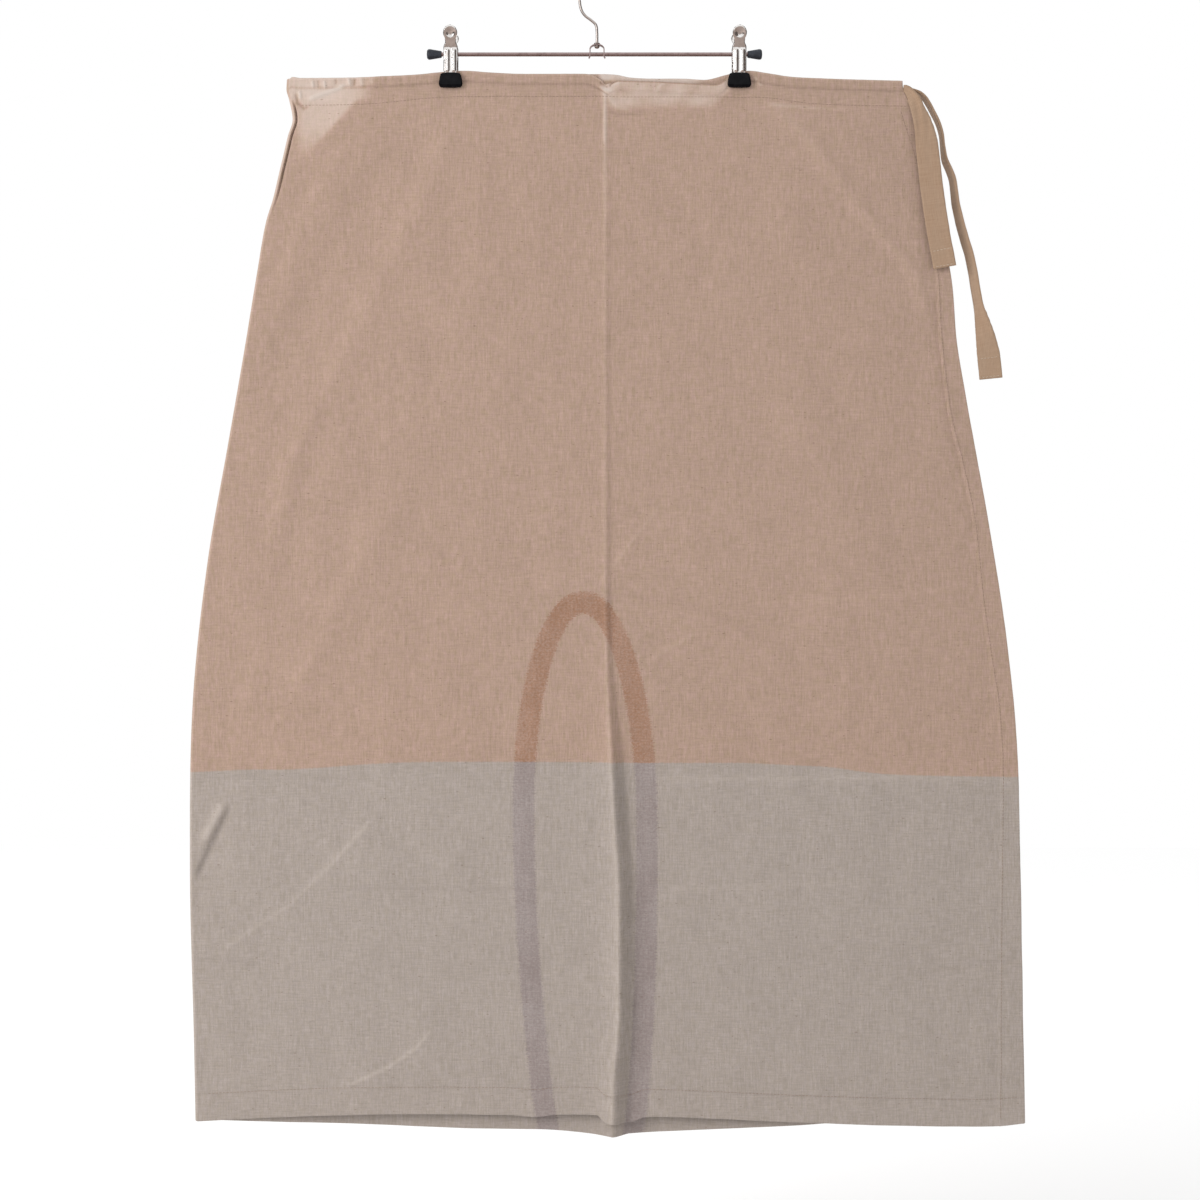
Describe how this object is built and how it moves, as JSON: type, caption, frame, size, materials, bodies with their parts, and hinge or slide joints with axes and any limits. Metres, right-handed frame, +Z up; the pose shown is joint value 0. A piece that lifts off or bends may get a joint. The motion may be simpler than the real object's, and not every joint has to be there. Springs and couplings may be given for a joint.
{
  "type": "apron on a hook",
  "caption": "Long drawstring wrap apron, folded in half and held by two spring clips on a swivel-hook hanger.",
  "frame": {"origin": "inner top of the hook's loop, where it rests on a rail", "axes": "+Z up, -Y towards the front of the hanger, +X to the right; the swivel axis is the Z axis"},
  "size_m": [0.7522, 0.0266, 1.0433],
  "materials": {
    "hook_wire": "bright drawn wire",
    "bar_steel": "polished rod with a faint draw grain",
    "clip_chrome": "bright plated pressing",
    "spring_wire": "bright spring wire",
    "cap_rubber": "satin moulded rubber",
    "tip_vinyl": "glossy dipped vinyl",
    "apron_cloth": "slubby plain-weave chambray, peach above and grey-beige below, with a woven oval band",
    "cotton_tape": "close-woven khaki cotton tape"
  },
  "bodies": {
    "hook": {"swivel_hook": "hook_wire"},
    "hanger": {"saddle": "bar_steel", "crossbar": "bar_steel", "left_end_cap": "cap_rubber", "right_end_cap": "cap_rubber"},
    "left_clip": {"left_spring": "spring_wire"},
    "left_front_jaw": {"left_front_leaf": "clip_chrome", "left_front_tip": "tip_vinyl"},
    "left_rear_jaw": {"left_rear_leaf": "clip_chrome", "left_rear_tip": "tip_vinyl"},
    "right_clip": {"right_spring": "spring_wire"},
    "right_front_jaw": {"right_front_leaf": "clip_chrome", "right_front_tip": "tip_vinyl"},
    "right_rear_jaw": {"right_rear_leaf": "clip_chrome", "right_rear_tip": "tip_vinyl"},
    "apron": {"waist_casing": "apron_cloth", "drawstring": "cotton_tape", "front_panel": "apron_cloth", "back_panel": "apron_cloth", "front_bottom_hem": "apron_cloth", "back_bottom_hem": "apron_cloth", "front_side_hem": "apron_cloth", "back_side_hem": "apron_cloth", "front_tie": "cotton_tape", "back_tie": "cotton_tape"}
  },
  "joints": [
    {"name": "hook_swivel", "type": "hinge", "parent": "hook", "child": "hanger", "pos_m": [0, 0, -0.059], "axis": [0, 0, 1], "continuous": true},
    {"name": "left_clip_slide", "type": "slide", "parent": "hanger", "child": "left_clip", "axis": [1, 0, 0], "range_m": [-0.001, 0.11]},
    {"name": "right_clip_slide", "type": "slide", "parent": "hanger", "child": "right_clip", "axis": [-1, 0, 0], "range_m": [-0.001, 0.11]},
    {"name": "left_front_jaw_hinge", "type": "hinge", "parent": "left_clip", "child": "left_front_jaw", "pos_m": [-0.1314, 0, -0.067], "axis": [-1, 0, 0], "range_deg": [0, 15], "stiffness_Nm_per_rad": 0.15, "springref_deg": -57.3},
    {"name": "left_rear_jaw_hinge", "type": "hinge", "parent": "left_clip", "child": "left_rear_jaw", "pos_m": [-0.1314, 0, -0.067], "axis": [1, 0, 0], "range_deg": [0, 15]},
    {"name": "right_front_jaw_hinge", "type": "hinge", "parent": "right_clip", "child": "right_front_jaw", "pos_m": [0.1278, 0, -0.067], "axis": [-1, 0, 0], "range_deg": [0, 15], "stiffness_Nm_per_rad": 0.15, "springref_deg": -57.3},
    {"name": "right_rear_jaw_hinge", "type": "hinge", "parent": "right_clip", "child": "right_rear_jaw", "pos_m": [0.1278, 0, -0.067], "axis": [1, 0, 0], "range_deg": [0, 15]},
    {"name": "apron_release", "type": "slide", "parent": "hanger", "child": "apron", "axis": [0, 0, -1], "range_m": [0, 0.035]}
  ],
  "couplings": [
    {"joint": "left_rear_jaw_hinge", "follows": "left_front_jaw_hinge", "ratio": 1},
    {"joint": "right_rear_jaw_hinge", "follows": "right_front_jaw_hinge", "ratio": 1}
  ]
}
